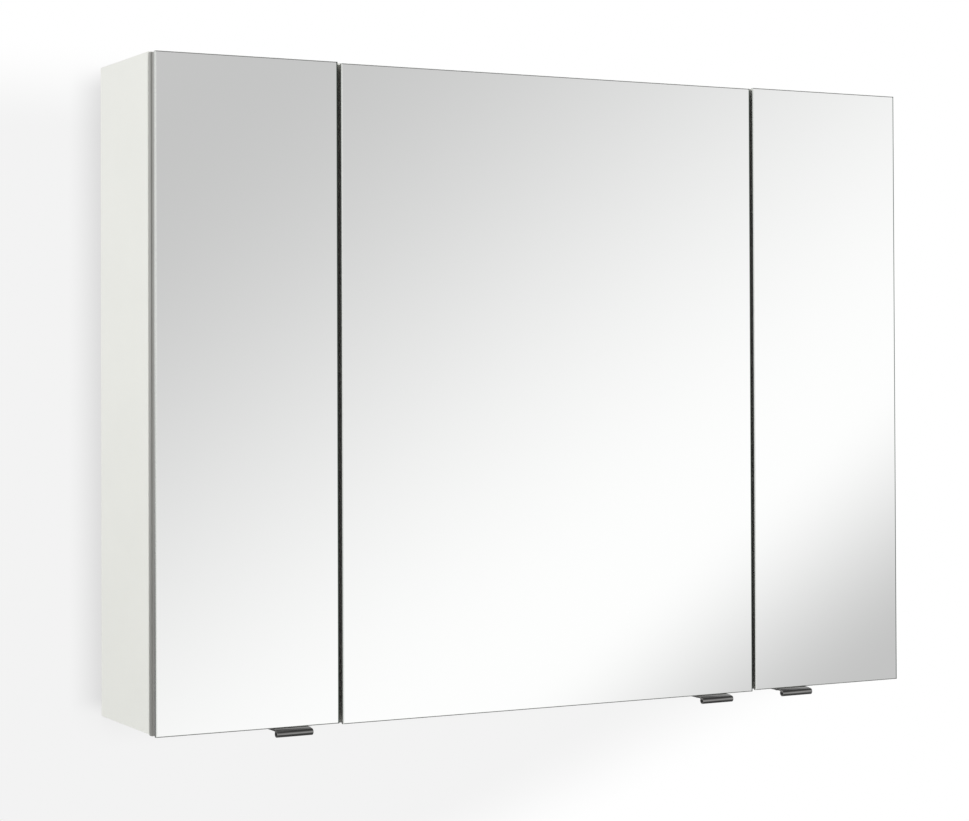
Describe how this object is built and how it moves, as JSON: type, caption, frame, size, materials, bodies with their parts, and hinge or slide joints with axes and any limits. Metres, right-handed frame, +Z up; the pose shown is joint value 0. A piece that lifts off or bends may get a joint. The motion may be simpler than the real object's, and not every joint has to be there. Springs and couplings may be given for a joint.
{
  "type": "mirror cabinet",
  "caption": "Wall-hung bathroom mirror cabinet with mirrored doors on concealed hinges, glass shelves and small bar handles under the doors.",
  "frame": {"origin": "on the wall plane, midway between the two screw slots of the wall rail", "axes": "+X across the cabinet to the right as seen from the front, +Y into the wall, +Z up"},
  "size_m": [0.9, 0.1774, 0.6824],
  "materials": {
    "carcass": "satin melamine-faced board, warm white",
    "back_board": "thin white lacquered hardboard",
    "door_board": "fine fibreboard core",
    "mirror": "silvered glass with ground edges",
    "edging": "satin anodised",
    "handle": "polished dark chrome",
    "screws": "zinc plated",
    "hinge_steel": "nickel plated pressed steel",
    "die_cast": "nickel plated die casting",
    "beech": "grooved beech dowel",
    "rail_steel": "galvanised strip",
    "hanger_plastic": "moulded white plastic",
    "shelf_glass": "clear float glass with ground edges",
    "bumper": "soft clear polyurethane"
  },
  "bodies": {
    "carcass": {"left_side_panel": "carcass", "right_side_panel": "carcass", "top_panel": "carcass", "bottom_panel": "carcass", "back_panel": "back_board", "left_partition": "carcass", "right_partition": "carcass", "dowels": "beech", "cam_discs": "die_cast", "cam_bolts": "screws", "shelf_pins": "screws", "wall_rail": "rail_steel", "hanger_housings": "hanger_plastic", "hanger_hooks": "rail_steel", "hanger_adjusters": "screws", "hanger_covers": "hanger_plastic", "hanger_screws": "screws", "bumpers": "bumper", "left_lower_shelf": "shelf_glass", "left_upper_shelf": "shelf_glass", "centre_lower_shelf": "shelf_glass", "centre_upper_shelf": "shelf_glass", "right_lower_shelf": "shelf_glass", "right_upper_shelf": "shelf_glass", "left_hinge_arms": "hinge_steel", "left_hinge_plates": "die_cast", "left_hinge_screws": "screws", "centre_hinge_arms": "hinge_steel", "centre_hinge_plates": "die_cast", "centre_hinge_screws": "screws", "right_hinge_arms": "hinge_steel", "right_hinge_plates": "die_cast", "right_hinge_screws": "screws"},
    "left_door": {"left_front_mirror": "mirror", "left_door_core": "door_board", "left_rear_mirror": "mirror", "left_door_edging": "edging", "left_handle": "handle", "left_door_screws": "screws", "left_hinge_cups": "hinge_steel"},
    "left_outer_links": {"left_outer_links": "hinge_steel"},
    "left_inner_links": {"left_inner_links": "hinge_steel"},
    "centre_door": {"centre_front_mirror": "mirror", "centre_door_core": "door_board", "centre_rear_mirror": "mirror", "centre_door_edging": "edging", "centre_handle": "handle", "centre_door_screws": "screws", "centre_hinge_cups": "hinge_steel"},
    "centre_outer_links": {"centre_outer_links": "hinge_steel"},
    "centre_inner_links": {"centre_inner_links": "hinge_steel"},
    "right_door": {"right_front_mirror": "mirror", "right_door_core": "door_board", "right_rear_mirror": "mirror", "right_door_edging": "edging", "right_handle": "handle", "right_door_screws": "screws", "right_hinge_cups": "hinge_steel"},
    "right_outer_links": {"right_outer_links": "hinge_steel"},
    "right_inner_links": {"right_inner_links": "hinge_steel"}
  },
  "joints": [
    {"name": "left_outer_link_turn", "type": "hinge", "parent": "carcass", "child": "left_outer_links", "pos_m": [-0.4254, -0.1388, -0.2755], "axis": [0, 0, -1], "range_deg": [-38.65, 0]},
    {"name": "left_door_swing", "type": "hinge", "parent": "left_outer_links", "child": "left_door", "pos_m": [-0.439, -0.1521, -0.2755], "axis": [0, 0, -1], "range_deg": [0, 130.64]},
    {"name": "left_inner_link_turn", "type": "hinge", "parent": "left_door", "child": "left_inner_links", "pos_m": [-0.435, -0.1484, -0.2755], "axis": [0, 0, -1], "range_deg": [-126.97, 0]},
    {"name": "centre_outer_link_turn", "type": "hinge", "parent": "carcass", "child": "centre_outer_links", "pos_m": [-0.2254, -0.1388, -0.2767], "axis": [0, 0, -1], "range_deg": [-38.65, 0]},
    {"name": "centre_door_swing", "type": "hinge", "parent": "centre_outer_links", "child": "centre_door", "pos_m": [-0.239, -0.1521, -0.2767], "axis": [0, 0, -1], "range_deg": [0, 130.64]},
    {"name": "centre_inner_link_turn", "type": "hinge", "parent": "centre_door", "child": "centre_inner_links", "pos_m": [-0.235, -0.1484, -0.2767], "axis": [0, 0, -1], "range_deg": [-126.97, 0]},
    {"name": "right_outer_link_turn", "type": "hinge", "parent": "carcass", "child": "right_outer_links", "pos_m": [0.4254, -0.1388, -0.2755], "axis": [0, 0, 1], "range_deg": [-38.65, 0]},
    {"name": "right_door_swing", "type": "hinge", "parent": "right_outer_links", "child": "right_door", "pos_m": [0.439, -0.1521, -0.2755], "axis": [0, 0, 1], "range_deg": [0, 130.64]},
    {"name": "right_inner_link_turn", "type": "hinge", "parent": "right_door", "child": "right_inner_links", "pos_m": [0.435, -0.1484, -0.2755], "axis": [0, 0, 1], "range_deg": [-126.97, 0]}
  ],
  "couplings": [
    {"joint": "left_outer_link_turn", "follows": "left_door_swing", "ratio": -0.29577},
    {"joint": "left_inner_link_turn", "follows": "left_door_swing", "ratio": -0.97183},
    {"joint": "centre_outer_link_turn", "follows": "centre_door_swing", "ratio": -0.29577},
    {"joint": "centre_inner_link_turn", "follows": "centre_door_swing", "ratio": -0.97183},
    {"joint": "right_outer_link_turn", "follows": "right_door_swing", "ratio": -0.29577},
    {"joint": "right_inner_link_turn", "follows": "right_door_swing", "ratio": -0.97183}
  ]
}
